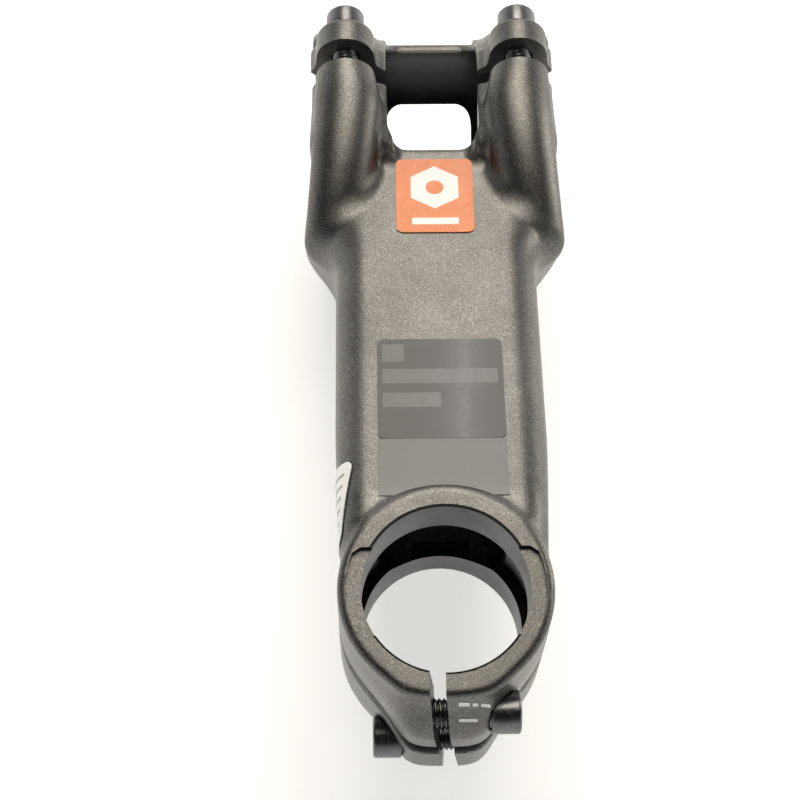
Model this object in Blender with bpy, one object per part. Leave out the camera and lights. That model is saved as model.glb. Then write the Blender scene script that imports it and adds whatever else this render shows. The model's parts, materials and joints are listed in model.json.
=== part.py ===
"""Handlebar stem: hollow forged body, split steerer clamp with a diagonal slot,
two-strap faceplate, six socket-head bolts, and three thin labels.

Origin: on the steerer axis at the middle of its clamp.
World +Z runs up the steerer, +Y forward to the handlebar, +X to the rider's right.
Inside the functions lengths are in millimetres; MM turns them into metres.
The extension has its own frame, tilted about X: x, e along the extension, z normal to it.
"""

import math

import bmesh
import bpy
from mathutils import Matrix, Vector

MM = 0.001
GAP = 0.3  # clearance between neighbouring pieces

# Driving dimensions, in millimetres and degrees
STEM_LENGTH = 110.0
STEM_ANGLE = -13.0
STEERER_D = 28.6
BAR_D = 31.8
CLAMP_HEIGHT = 40.0
CLAMP_R = 18.3
CLAMP_WIDTH = 46.6  # across both handlebar straps
ARM_GAP = 17.6  # between the two straps
BODY_WIDTH = 37.4
FLARE_WIDTH = 49.7

# Steerer clamp
BORE_CHAMFER = 0.4
RELIEF_DEPTH = 1.9
RELIEF_HALF = 8.0
SLOT_WIDTH = 2.7
SLOT_TILT = 4.9
WAIST_R = 17.7  # bottom of the groove between the two bolt ears
EAR_REACH = 23.5
EAR_FLANK = 16.9
POCKET_FRONT = 7.2
POCKET_REAR = -8.0
POCKET_R = 16.9
POCKET_DEPTH = 1.3
STEERER_BOLT_Y = -19.0
STEERER_BOLT_Z = 10.0
STEERER_SEAT_X = 7.2

# Handlebar clamp, in the extension's frame
BOLT_X = 16.8
BOLT_Z = 20.7
BOSS_R = 5.6
BODY_FACE = STEM_LENGTH - 3.6  # where the arms end
PLATE_FACE = STEM_LENGTH + 1.2  # where the faceplate starts
BOSS_FRONT = STEM_LENGTH + 6.6
PLATE_WALL = 3.6
TRIM = 0.8  # what is cut off to leave one flat face
BRIDGE_HALF = 8.0  # half height of the bar that joins the straps
BELLY = 15.2  # depth of the flat underside below the extension's axis
DECK_HALF = 12.9  # half width of the flat top, up to where its sides start to round
DECK_STEP = 0.6  # how far the flat top stays below the clamp's top face
FLARE_LAG = 0.34  # how much later the flare starts per millimetre down the flank
FLARE_LEVEL = 6.0  # height on the flank where that delay begins
DECK_FRONT = STEM_LENGTH - 16.6
PLATE_HIGH = 17.0  # half height of the faceplate's flat feet
CHEEK_HIGH = 18.6  # half height of the straps' side walls

# Bolts, M5
THREAD_D = 5.0
HEAD_R = 3.7
HEAD_H = 5.0
HEX_ACROSS = 4.0
HEX_DEPTH = 2.8
HOLE_R = THREAD_D / 2 + GAP - 0.05
PLATE_BOLT_LENGTH = 18.0
STEERER_BOLT_LENGTH = 13.0
THREAD_HOLE_DEPTH = 9.0

# Labels
LABEL_THICK = 0.2
LABEL_LIFT = 0.12

BORE_SIDES = 72
TILT = math.radians(STEM_ANGLE)

PAINTS = {
    "black_anodised": ((0.022, 0.022, 0.024, 1.0), 0.42, 0.85),
    "faceplate_anodised": ((0.028, 0.027, 0.027, 1.0), 0.40, 0.85),
    "bolt_steel": ((0.045, 0.047, 0.055, 1.0), 0.25, 1.0),
    "gloss_black": ((0.012, 0.012, 0.014, 1.0), 0.08, 0.0),
    "orange_vinyl": ((0.86, 0.17, 0.045, 1.0), 0.25, 0.0),
    "white_vinyl": ((0.85, 0.85, 0.83, 1.0), 0.30, 0.0),
}


# ---------------------------------------------------------------- scene helpers
def clear_scene():
    for obj in list(bpy.data.objects):
        bpy.data.objects.remove(obj, do_unlink=True)
    for collection in list(bpy.data.collections):
        bpy.data.collections.remove(collection)


def make_collection(name):
    collection = bpy.data.collections.new(name)
    bpy.context.scene.collection.children.link(collection)
    return collection


def make_paint(name):
    color, roughness, metallic = PAINTS[name]
    material = bpy.data.materials.new(name)
    material.use_nodes = True
    material.diffuse_color = color
    shader = material.node_tree.nodes["Principled BSDF"]
    shader.inputs["Base Color"].default_value = color
    shader.inputs["Roughness"].default_value = roughness
    shader.inputs["Metallic"].default_value = metallic
    return material


def make_empty(name, parent=None, location=(0, 0, 0), rotation=(0, 0, 0)):
    empty = bpy.data.objects.new(name, None)
    empty.empty_display_size = 10 * MM
    empty.parent = parent
    empty.location = Vector(location) * MM
    empty.rotation_euler = rotation
    PARTS.objects.link(empty)
    return empty


def finish_mesh(bm):
    bmesh.ops.scale(bm, vec=(MM, MM, MM), verts=bm.verts)
    bmesh.ops.recalc_face_normals(bm, faces=bm.faces)
    mesh = bpy.data.meshes.new("mesh")
    bm.to_mesh(mesh)
    bm.free()
    return mesh


def add_part(name, mesh, paint, parent=None, location=(0, 0, 0), rotation=(0, 0, 0)):
    mesh.name = name
    mesh.materials.append(PAINT[paint])
    mesh.shade_smooth()
    mesh.set_sharp_from_angle(angle=math.radians(32))
    obj = bpy.data.objects.new(name, mesh)
    obj.parent = parent
    obj.location = Vector(location) * MM
    obj.rotation_euler = rotation
    PARTS.objects.link(obj)
    return obj


def add_helper(name, mesh, parent=None, location=(0, 0, 0), rotation=(0, 0, 0)):
    mesh.name = name
    obj = bpy.data.objects.new(name, mesh)
    obj.parent = parent
    obj.location = Vector(location) * MM
    obj.rotation_euler = rotation
    obj.hide_render = True
    obj.display_type = "WIRE"
    CUTTERS.objects.link(obj)
    return obj


def boolean(target, helper, operation):
    modifier = target.modifiers.new(helper.name, "BOOLEAN")
    modifier.operation = operation
    modifier.solver = "EXACT"
    modifier.object = helper


def join(target, helper):
    boolean(target, helper, "UNION")


def cut(target, helper):
    boolean(target, helper, "DIFFERENCE")


# ---------------------------------------------------------------- shape helpers
def smooth_step(value, low, high):
    t = min(1.0, max(0.0, (value - low) / (high - low)))
    return t * t * (3 - 2 * t)


def arc(center, radius, start, end, count):
    """Points on an arc, angles in degrees, both ends included."""
    points = []
    for i in range(count):
        angle = math.radians(start + (end - start) * i / (count - 1))
        points.append((center[0] + radius * math.cos(angle), center[1] + radius * math.sin(angle)))
    return points


def rounded_box(left, right, bottom, top, radius, count=5):
    """Outline of a rectangle with round corners, counter-clockwise."""
    points = []
    points += arc((right - radius, bottom + radius), radius, -90, 0, count)
    points += arc((right - radius, top - radius), radius, 0, 90, count)
    points += arc((left + radius, top - radius), radius, 90, 180, count)
    points += arc((left + radius, bottom + radius), radius, 180, 270, count)
    return points


def loft(sections):
    """Closed solid through rings of 3-D points, with a cap at each end."""
    bm = bmesh.new()
    rings = [[bm.verts.new(point) for point in section] for section in sections]
    for near, far in zip(rings, rings[1:]):
        for i in range(len(near)):
            j = (i + 1) % len(near)
            bm.faces.new((near[i], near[j], far[j], far[i]))
    sides = bm.faces[:]
    bm.faces.new(list(reversed(rings[0])))
    bm.faces.new(rings[-1])
    bmesh.ops.triangulate(bm, faces=sides)
    return bm


def prism(outline, axis, low, high):
    """Outline extruded along x, y or z. The outline's two numbers are the other two axes."""
    place = {
        "x": lambda a, b, c: (c, a, b),
        "y": lambda a, b, c: (a, c, b),
        "z": lambda a, b, c: (a, b, c),
    }[axis]
    return loft([[place(a, b, level) for a, b in outline] for level in (low, high)])


def rod(radius, length, sides=32):
    """Cylinder along +Z from 0 to length."""
    bm = bmesh.new()
    bmesh.ops.create_cone(
        bm,
        cap_ends=True,
        segments=sides,
        radius1=radius,
        radius2=radius,
        depth=length,
        matrix=Matrix.Translation((0, 0, length / 2)),
    )
    return bm


def turned(profile, sides):
    """Solid of revolution about Z from (radius, height) pairs that start and end off the axis."""
    sections = []
    for radius, height in profile:
        sections.append([(x, y, height) for x, y in circle(radius, sides)])
    return loft(sections)


def circle(radius, sides):
    points = []
    for i in range(sides):
        angle = 2 * math.pi * i / sides
        points.append((radius * math.cos(angle), radius * math.sin(angle)))
    return points


# ---------------------------------------------------------------- stem body
def clamp_radius(angle, height):
    """Outer radius of the steerer clamp: a round ring that grows two bolt ears at the rear."""
    level = abs(height)
    across, along = math.cos(angle), math.sin(angle)
    radius = CLAMP_R
    if along < -0.3:
        # The upper ear fades out at the top face; the lower one keeps most of its depth.
        full = 1 - smooth_step(level, 9, 19.6)
        if height < 0:
            full = 1 - 0.6 * smooth_step(level, 14, 20)
        reach = CLAMP_R - 0.6 + (EAR_REACH - CLAMP_R + 0.6) * full
        flank = EAR_FLANK - 1.6 * (1 - full)
        limits = [reach / -along]
        for side in (-1, 1):
            slope = 0.888 * side * across - 0.46 * along
            if slope > 0.05:
                limits.append(flank / slope)
        ear = sum(limit**-14 for limit in limits) ** (-1 / 14)
        radius = (radius**18 + ear**18) ** (1 / 18)
    groove = smooth_step(-along, 0.0, 0.55) * (1 - smooth_step(level, 0.5, 3.2))
    return radius + (WAIST_R - radius) * groove


def clamp_ring():
    sides = 96
    half = CLAMP_HEIGHT / 2
    levels = [0.0, 0.8, 1.6, 2.4, 3.2, 6.0, 9.0, 12.2, 15.2, 17.3, 19.0, half]
    levels = [-level for level in reversed(levels[1:])] + levels
    sections = []
    for height in levels:
        ring = []
        for i in range(sides):
            angle = 2 * math.pi * (i + 0.5) / sides
            radius = clamp_radius(angle, height)
            if abs(height) == half:
                radius -= 0.4
            ring.append((radius * math.cos(angle), radius * math.sin(angle), height))
        sections.append(ring)
    return finish_mesh(loft(sections))


def body_half_width(e):
    """Parallel flanks that flare to the shoulders and come back in to the straps."""
    half = BODY_WIDTH / 2
    start = 1.0 * (1 - smooth_step(e, 0, 30))
    flare = (FLARE_WIDTH / 2 - half) * smooth_step(e, 68, 79.5)
    back = ((FLARE_WIDTH - CLAMP_WIDTH) / 2 + 0.5) * smooth_step(e, 80, 90)
    return half - start + flare - back


def deck_height(e):
    """Height of the flat top over the extension's axis; it stops short of the clamp's top face."""
    along = min(1.0, max(0.0, (e - 13) / 77))
    top = 15.0 + 6.8 * (1 - along) ** 1.5
    limit = (CLAMP_HEIGHT / 2 - DECK_STEP - e * math.sin(TILT)) / math.cos(TILT)
    return min(top, limit)


def belly_height(e):
    """Height of the flat underside; it lifts beside the clamp, clear of its bottom face."""
    return 1.6 * (1 - smooth_step(e, 24, 52)) - BELLY


def spread(x, e, z):
    """Moves a point of the section out to the flank; low on the flank the flare starts later."""
    core = min(abs(x), DECK_HALF)
    share = (abs(x) - core) / (body_half_width(e) - DECK_HALF)
    flank = body_half_width(e + FLARE_LAG * (min(z, FLARE_LEVEL) - FLARE_LEVEL))
    return math.copysign(core + share * (flank - DECK_HALF), x)


def extension():
    """Outer skin of the extension, with rounder sides where it flares."""
    stations = [0, 5, 9, 13, 18, 24, 32, 42, 52, 62, 67, 70, 72, 74, 76, 78, 80, 83, 86, 89, 92, 95, 97]
    sections = []
    for e in stations:
        half = body_half_width(e)
        outline = rounded_box(-half, half, belly_height(e), deck_height(e), half - DECK_HALF, 7)
        sections.append([(spread(x, e, z), e, z) for x, z in outline])
    return finish_mesh(loft(sections))


def cheek(side):
    """One strap's root: the side wall that wraps the rear half of the handlebar."""
    end = BODY_FACE + TRIM
    upper = [(end, CHEEK_HIGH), (98.0, CHEEK_HIGH), (91.0, CHEEK_HIGH - 1.5), (86.0, 9.0)]
    lower = [(e, -z) for e, z in reversed(upper)]
    inner = side * (ARM_GAP / 2 - TRIM)
    outer = side * CLAMP_WIDTH / 2
    bm = prism(upper + lower, "x", min(inner, outer), max(inner, outer))
    rim = []
    for edge in bm.edges:
        start, end = (vert.co for vert in edge.verts)
        if abs(start.x - end.x) < 0.01 and min(start.y, end.y) < BODY_FACE:
            rim.append(edge)
    bmesh.ops.bevel(bm, geom=rim, offset=1.4, segments=2, profile=0.5, affect="EDGES")
    return finish_mesh(bm)


def boss_ring(t, up):
    """Center and half widths of a bolt boss, from its flat end (t = 0) back into the shoulder (t = 1)."""
    wide = smooth_step(t, 0, 0.3)
    outward = 2.5 if up > 0 else -3.5
    middle = BOLT_X - 0.75 * wide + outward * t**2
    center = Vector((middle, BODY_FACE + 2 * TRIM - 32 * t, BOLT_Z - 13.0 * t**2))
    half_x = BOSS_R * (1 + 0.18 * wide) * (1 - 0.2 * t**2)
    half_z = BOSS_R * (1 - 0.15 * t)
    return center, half_x, half_z


def boss_tube(side, up):
    sections = []
    steps = 9
    sides = 24
    for step in range(steps + 1):
        center, half_x, half_z = boss_ring(step / steps, up)
        ring = []
        for x, z in circle(1.0, sides):
            ring.append((side * (center.x + half_x * x), center.y, up * (center.z + half_z * z)))
        sections.append(ring)
    return finish_mesh(loft(sections))


def arm_window():
    """The opening between the straps, with round corners at the deck's front edge."""
    half = ARM_GAP / 2
    corner = 4.2
    outline = [(half, 125.0), (-half, 125.0)]
    outline += arc((-half + corner, DECK_FRONT + corner), corner, 180, 270, 7)
    outline += arc((half - corner, DECK_FRONT + corner), corner, 270, 360, 7)
    return finish_mesh(prism(outline, "z", -40, 40))


def cavity():
    """The hollow of the extension, open to the steerer bore and to the handlebar."""
    sections = []
    for e in [8, 16, 24, 34, 46, 60, 74, 88, 101]:
        grow = smooth_step(e, 14, 46)
        half = 11.5 + 3.7 * grow
        height = 7.4 + 4.6 * grow
        sections.append([(x, e, z) for x, z in rounded_box(-half, half, -height, height, 6.5, 6)])
    return finish_mesh(loft(sections))


def steerer_cutter():
    """Bore with a chamfer at each mouth and a relief between the two lands."""
    bore = STEERER_D / 2
    half = CLAMP_HEIGHT / 2
    relief = bore + RELIEF_DEPTH
    upper = [
        (bore, 0.5 + RELIEF_HALF),
        (bore, half - BORE_CHAMFER),
        (bore + BORE_CHAMFER + 1, half + 1),
    ]
    profile = [(radius, -height) for radius, height in reversed(upper)]
    profile += [(relief, -RELIEF_HALF), (relief, RELIEF_HALF)]
    profile += upper
    return finish_mesh(turned(profile, BORE_SIDES))


def slot_cutter():
    half = SLOT_WIDTH / 2
    outline = [(-half, -30.0), (half, -30.0), (half, -8.0), (-half, -8.0)]
    return finish_mesh(prism(outline, "z", -30, 30))


def pocket_cutter(side):
    """Shallow crescent beside the bore, in the clamp's top face."""
    inner = STEERER_D / 2 - 1.5
    front = math.degrees(math.asin(POCKET_FRONT / POCKET_R))
    rear = math.degrees(math.asin(POCKET_REAR / POCKET_R))
    outline = [(inner * 0.9, POCKET_FRONT), (inner * 0.9, POCKET_REAR)]
    corner = 1.0
    outline.append((POCKET_R * math.cos(math.radians(rear)) - corner, POCKET_REAR))
    outline += arc((0, 0), POCKET_R, rear + 3.5, front - 3.5, 14)
    outline.append((POCKET_R * math.cos(math.radians(front)) - corner, POCKET_FRONT))
    outline = [(side * x, y) for x, y in outline]
    top = CLAMP_HEIGHT / 2
    return finish_mesh(prism(outline, "z", top - POCKET_DEPTH, top + 2))


def along_x(side):
    """Rotation that turns +Z into +X (side 1) or -X (side -1)."""
    return (0, side * math.pi / 2, 0)


def cut_clamp(body):
    cut(body, add_helper("steerer_bore_cutter", steerer_cutter()))
    for side, name in ((-1, "left"), (1, "right")):
        cut(body, add_helper("pocket_cutter_" + name, pocket_cutter(side)))
    tilt = (0, -math.radians(SLOT_TILT), 0)
    cut(body, add_helper("slot_cutter", slot_cutter(), rotation=tilt))
    for side, name in ((1, "upper"), (-1, "lower")):
        height = side * STEERER_BOLT_Z
        seat = (side * STEERER_SEAT_X, STEERER_BOLT_Y, height)
        mesh = finish_mesh(rod(HEAD_R + 0.6, 14, 40))
        cut(body, add_helper("head_recess_" + name, mesh, None, seat, along_x(side)))
        reach = STEERER_BOLT_LENGTH - STEERER_SEAT_X + GAP
        start = (-side * reach, STEERER_BOLT_Y, height)
        mesh = finish_mesh(rod(HOLE_R, reach + STEERER_SEAT_X + 2, 24))
        cut(body, add_helper("bolt_hole_" + name, mesh, None, start, along_x(side)))


def cut_arms(body, frame):
    ahead = prism(rounded_box(-30, 30, -40, 40, 1, 2), "y", BODY_FACE, BODY_FACE + 20)
    cut(body, add_helper("arm_end_cutter", finish_mesh(ahead), frame))
    cut(body, add_helper("cavity_cutter", cavity(), frame))
    cut(body, add_helper("arm_window_cutter", arm_window(), frame))
    start = (-40, STEM_LENGTH, 0)
    mesh = finish_mesh(rod(BAR_D / 2, 80, BORE_SIDES))
    cut(body, add_helper("bar_bore_cutter", mesh, frame, start, along_x(1)))
    for name, side, up in CORNERS:
        start = (side * BOLT_X, BODY_FACE - THREAD_HOLE_DEPTH, up * BOLT_Z)
        mesh = finish_mesh(rod(HOLE_R, THREAD_HOLE_DEPTH + 5, 24))
        forward = (-math.pi / 2, 0, 0)
        cut(body, add_helper("thread_hole_" + name, mesh, frame, start, forward))


def stem_body(frame):
    body = add_part("stem_body", clamp_ring(), "black_anodised")
    join(body, add_helper("extension_solid", extension(), frame))
    for side, name in ((-1, "left"), (1, "right")):
        join(body, add_helper("cheek_" + name, cheek(side), frame))
    for name, side, up in CORNERS:
        join(body, add_helper("boss_" + name, boss_tube(side, up), frame))
    cut_clamp(body)
    cut_arms(body, frame)
    return body


# ---------------------------------------------------------------- faceplate
def shell_profile():
    """Side view of the faceplate: a C of even wall with a square foot above and below."""
    inner = BAR_D / 2
    outer = inner + PLATE_WALL
    foot = PLATE_FACE - STEM_LENGTH - 2 * TRIM
    front = BOSS_FRONT - STEM_LENGTH
    outer_turn = math.degrees(math.asin(PLATE_HIGH / outer))
    inner_turn = math.degrees(math.acos(foot / inner))
    profile = [(foot, -PLATE_HIGH), (front, -PLATE_HIGH)]
    profile += arc((0, 0), outer, -outer_turn, outer_turn, 22)
    profile += [(front, PLATE_HIGH), (foot, PLATE_HIGH)]
    profile += arc((0, 0), inner, inner_turn, -inner_turn, 28)
    return profile


def plate_window(up):
    """Opening between the straps, above or below the bridge, with round corners at the bridge."""
    half = ARM_GAP / 2
    corner = 3.4
    outline = [(half, 40.0), (-half, 40.0)]
    outline += arc((-half + corner, BRIDGE_HALF + corner), corner, 180, 270, 6)
    outline += arc((half - corner, BRIDGE_HALF + corner), corner, 270, 360, 6)
    outline = [(x, up * z) for x, z in outline]
    return finish_mesh(prism(outline, "y", -20, 40))


def bridge_crown():
    """What is cut off the bridge so that its outside is crowned and its edges are thin."""
    edge = BAR_D / 2 + 1.8
    middle = BAR_D / 2 + PLATE_WALL - 0.3
    rise = middle - math.sqrt(edge**2 - BRIDGE_HALF**2)
    radius = (BRIDGE_HALF**2 + rise**2) / (2 * rise)
    turn = 62.0
    profile = arc((middle - radius, 0), radius, -turn, turn, 14)
    profile += arc((0, 0), BAR_D / 2 + 12, 40, -40, 4)
    half = ARM_GAP / 2
    return finish_mesh(prism(profile, "x", -half, half))


def hood(side, up):
    """Bolt boss of the faceplate: a round top that spreads down to the strap's full width."""
    low = up * (PLATE_HIGH - 2.0)
    spread = up * (PLATE_HIGH + 0.3)
    inner = side * (ARM_GAP / 2 - TRIM)
    outer = side * (CLAMP_WIDTH / 2 - 0.4)
    round_top = arc((side * BOLT_X, BOLT_Z), BOSS_R, 90 - side * 78, 90 + side * 78, 13)
    outline = [(outer, low), (outer, spread)]
    outline += [(x, up * z) for x, z in round_top]
    outline += [(inner, spread), (inner, low)]
    length = BOSS_FRONT - PLATE_FACE + TRIM
    return finish_mesh(prism(outline, "y", -TRIM, length - TRIM))


def faceplate(frame):
    place = (0, STEM_LENGTH, 0)
    half = CLAMP_WIDTH / 2
    mesh = finish_mesh(prism(shell_profile(), "x", -half, half))
    plate = add_part("faceplate", mesh, "faceplate_anodised", frame, place)
    for name, side, up in CORNERS:
        join(plate, add_helper("hood_" + name, hood(side, up), frame, (0, PLATE_FACE, 0)))
    for up, name in ((1, "upper"), (-1, "lower")):
        cut(plate, add_helper("plate_window_" + name, plate_window(up), frame, place))
    cut(plate, add_helper("bridge_crown_cutter", bridge_crown(), frame, place))
    behind = prism(rounded_box(-30, 30, -40, 40, 1, 2), "y", PLATE_FACE - 20, PLATE_FACE)
    cut(plate, add_helper("plate_foot_cutter", finish_mesh(behind), frame))
    forward = (-math.pi / 2, 0, 0)
    for name, side, up in CORNERS:
        spot = (side * BOLT_X, PLATE_FACE - 5, up * BOLT_Z)
        mesh = finish_mesh(rod(HOLE_R, 20, 24))
        cut(plate, add_helper("plate_hole_" + name, mesh, frame, spot, forward))
        spot = (side * BOLT_X, BOSS_FRONT, up * BOLT_Z)
        mesh = finish_mesh(rod(HEAD_R + 0.5, 20, 32))
        cut(plate, add_helper("plate_seat_" + name, mesh, frame, spot, forward))
    return plate


# ---------------------------------------------------------------- bolts
def bolt_mesh(length):
    """Socket-head bolt along Z: the head's seat is at 0, the head above it, the shank below."""
    shank = THREAD_D / 2 - 0.05
    profile = [
        (shank - 0.6, -length),
        (shank, -length + 0.6),
        (shank, 0.0),
        (HEAD_R - 0.15, 0.0),
        (HEAD_R, 0.15),
        (HEAD_R, HEAD_H - 0.7),
        (HEAD_R - 0.2, HEAD_H - 0.2),
        (HEAD_R - 0.7, HEAD_H),
    ]
    return finish_mesh(turned(profile, 32))


def hex_cutter():
    bm = rod(HEX_ACROSS / math.sqrt(3), HEX_DEPTH + 2, 6)
    return finish_mesh(bm)


def bolt(name, length, parent, location, rotation):
    """A bolt whose origin lies on its own axis, so that it turns about its local Z."""
    place = make_empty(name + "_axis", parent, location, rotation)
    obj = add_part(name, bolt_mesh(length), "bolt_steel", place)
    cutter = add_helper(name + "_hex", hex_cutter(), place, (0, 0, HEAD_H - HEX_DEPTH))
    cut(obj, cutter)
    return obj


def bolts(frame):
    forward = (-math.pi / 2, 0, 0)
    for name, side, up in CORNERS:
        spot = (side * BOLT_X, BOSS_FRONT + GAP, up * BOLT_Z)
        bolt("faceplate_bolt_" + name, PLATE_BOLT_LENGTH, frame, spot, forward)
    for side, name in ((1, "upper"), (-1, "lower")):
        spot = (side * (STEERER_SEAT_X + GAP), STEERER_BOLT_Y, side * STEERER_BOLT_Z)
        bolt("steerer_bolt_" + name, STEERER_BOLT_LENGTH, None, spot, along_x(side))


# ---------------------------------------------------------------- labels
def deck_label(left, right, rear, front, corner):
    """A thin sheet that follows the deck's height."""
    outline = rounded_box(left, right, rear, front, corner, 6)
    bm = bmesh.new()
    low = [bm.verts.new((x, e, deck_height(e) + LABEL_LIFT)) for x, e in outline]
    high = [bm.verts.new((x, e, deck_height(e) + LABEL_LIFT + LABEL_THICK)) for x, e in outline]
    for i in range(len(outline)):
        j = (i + 1) % len(outline)
        bm.faces.new((low[i], low[j], high[j], high[i]))
    bm.faces.new(list(reversed(low)))
    bm.faces.new(high)
    return finish_mesh(bm)


def flank_point(e, turn, drop, lift):
    """Point beside the left flank: turn degrees up its rounded top edge, or drop below that edge."""
    half = body_half_width(e)
    corner = half - DECK_HALF
    reach = corner + lift
    angle = math.radians(turn)
    height = deck_height(e) - corner - drop + reach * math.sin(angle)
    return (-DECK_HALF - reach * math.cos(angle), e, height)


def side_label():
    """A thin white sheet on the left flank beside the clamp; it wraps the deck's rounded edge."""
    columns = [(60, 0), (45, 0), (30, 0), (15, 0), (0, 0), (0, 5)]
    sections = []
    for e in (9.0, 13.0, 18.0, 21.0):
        near = [flank_point(e, turn, drop, LABEL_LIFT) for turn, drop in columns]
        far = [flank_point(e, turn, drop, LABEL_LIFT + LABEL_THICK) for turn, drop in columns]
        sections.append(near + list(reversed(far)))
    return finish_mesh(loft(sections))


def labels(frame):
    panel = deck_label(-11.2, 11.2, 24.3, 46.8, 1.2)
    add_part("gloss_panel", panel, "gloss_black", frame)
    sticker = deck_label(-7.3, 7.3, 72.4, 90.4, 1.3)
    add_part("orange_sticker", sticker, "orange_vinyl", frame)
    add_part("side_label", side_label(), "white_vinyl", frame)


CORNERS = [
    ("upper_left", -1, 1),
    ("upper_right", 1, 1),
    ("lower_left", -1, -1),
    ("lower_right", 1, -1),
]

clear_scene()
PARTS = make_collection("handlebar_stem")
CUTTERS = make_collection("cutters")
PAINT = {name: make_paint(name) for name in PAINTS}


def main():
    extension_frame = make_empty("extension_frame", rotation=(TILT, 0, 0))
    stem_body(extension_frame)
    faceplate(extension_frame)
    bolts(extension_frame)
    labels(extension_frame)


main()
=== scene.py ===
"""Finished looks of the handlebar stem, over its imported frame.

The forged body and the faceplate are made as smooth distance fields, turned into meshes, and then
machined with Boolean cutters, as the real pieces are. Bolts carry true helical threads.

Lengths are in millimetres until a mesh is finished; MM turns them into metres.
The extension's own frame has x across, e forward along the extension and z normal to it.
"""

import json
import math

import bmesh
import bpy
import numpy as np
from mathutils import Matrix, Vector
from mathutils.bvhtree import BVHTree


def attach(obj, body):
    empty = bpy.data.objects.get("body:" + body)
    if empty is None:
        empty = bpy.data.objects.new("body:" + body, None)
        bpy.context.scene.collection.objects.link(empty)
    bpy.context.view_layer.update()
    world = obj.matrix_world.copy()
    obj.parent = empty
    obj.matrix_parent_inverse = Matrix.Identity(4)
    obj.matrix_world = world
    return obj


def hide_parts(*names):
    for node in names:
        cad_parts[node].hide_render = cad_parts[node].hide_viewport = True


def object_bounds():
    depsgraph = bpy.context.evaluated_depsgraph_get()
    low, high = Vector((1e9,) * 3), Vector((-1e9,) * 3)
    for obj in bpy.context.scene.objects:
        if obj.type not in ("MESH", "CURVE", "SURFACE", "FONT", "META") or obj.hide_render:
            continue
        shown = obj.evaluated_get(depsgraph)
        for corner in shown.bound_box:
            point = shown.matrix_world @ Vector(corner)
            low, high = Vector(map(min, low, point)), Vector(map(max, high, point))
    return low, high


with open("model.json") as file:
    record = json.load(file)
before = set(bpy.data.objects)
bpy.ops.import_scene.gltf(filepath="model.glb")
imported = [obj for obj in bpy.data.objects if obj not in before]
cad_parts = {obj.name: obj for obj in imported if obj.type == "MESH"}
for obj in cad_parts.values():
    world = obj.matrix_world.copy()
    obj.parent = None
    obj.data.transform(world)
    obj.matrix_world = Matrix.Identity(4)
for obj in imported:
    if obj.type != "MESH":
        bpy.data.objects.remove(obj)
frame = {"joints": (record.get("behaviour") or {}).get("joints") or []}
cad_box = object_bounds()

MM = 0.001
JOINTS = {joint["name"]: joint for joint in frame["joints"]}
FORWARD = Vector(JOINTS["faceplate_pull_off"]["axis"])
TILT = math.atan2(FORWARD.z, FORWARD.y)
TILT_COS, TILT_SIN = math.cos(TILT), math.sin(TILT)
TO_WORLD = Matrix.Rotation(TILT, 4, "X")

# Driving dimensions of the body, in millimetres
STEM_LENGTH = 110.0
STEERER_R = 14.3
BAR_R = 15.9
CLAMP_HALF = 20.0
CLAMP_R = 18.3
STRAP_OUTER = 23.3
STRAP_INNER = 8.8
BODY_HALF = 18.7
FLARE_HALF = 24.85
WAIST_R = 17.7
EAR_REACH = 23.5
EAR_FLANK = 16.9
BORE_CHAMFER = 0.4
RELIEF_R = STEERER_R + 1.9
RELIEF_HALF = 8.0
SLOT_WIDTH = 2.7
SLOT_TILT = math.radians(4.9)
POCKET_FRONT, POCKET_REAR = 7.2, -8.0
POCKET_R = 16.9
POCKET_DEPTH = 1.3
BOLT_X, BOLT_Z = 16.8, 20.7
BOSS_R = 5.6
BODY_FACE = STEM_LENGTH - 3.6
PLATE_FACE = STEM_LENGTH + 1.2
BOSS_FRONT = STEM_LENGTH + 6.6
PLATE_WALL = 3.6
BRIDGE_HALF = 8.0
DECK_FRONT = STEM_LENGTH - 16.6
PLATE_HIGH = 17.0
CHEEK_HIGH = 18.6
BELLY = 15.2
DECK_HALF = 12.9
DECK_STEP = 0.6
FLARE_LAG = 0.34
FLARE_LEVEL = 6.0
FLARE_SPAN = (68, 79.5)
STRAP_SPAN = (80, 90)
WINDOW_CORNER = 4.2
LABEL_FRONT = 20.1
FLOOR_HALF = 900
FLOOR_DROP = 6.0  # room below for the faceplate, which slides down as it comes off
STEERER_SEAT_X = 7.2
STEERER_BOLT_Y = -19.0
STEERER_BOLT_Z = 10.0

# M5 bolts
HEAD_R, HEAD_H = 3.7, 5.0
THREAD_R, PITCH, THREAD_DEPTH = 2.45, 0.8, 0.42
HEX_R, HEX_DEPTH = 4.0 / math.sqrt(3), 2.8
HOLE_R = 2.75
THREAD_HOLE_DEPTH = 9.0
LEAD_IN = 1.0
PLATE_BOLT_LENGTH, STEERER_BOLT_LENGTH = 18.0, 13.0

GRID = 0.5  # spacing of the distance field's samples
PLATE_GRID = 0.4
ROUND_SIDES = 144
HOLE_SIDES = 48
BOLT_SIDES = 60

CORNERS = {
    "upper_left": (-1, 1),
    "upper_right": (1, 1),
    "lower_left": (-1, -1),
    "lower_right": (1, -1),
}


# Labels on the deck: (left, right, rear, front) in the extension's frame
GLOSS_BOX = (-11.2, 11.2, 24.3, 46.8)
SATIN_BOX = (-11.2, 11.2, 12.0, 24.25)
STICKER_BOX = (-7.3, 7.3, 72.4, 90.4)
BAR_BOX = (-4.4, 4.4, 74.3, 75.9)
EMBLEM_R, DOT_R, EMBLEM_E = 5.2, 1.7, 83.4
SHEET_LIFT = 0.06
STICKER_PRINT_LIFT = 0.262
PRINT_THICK = 0.02
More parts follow.
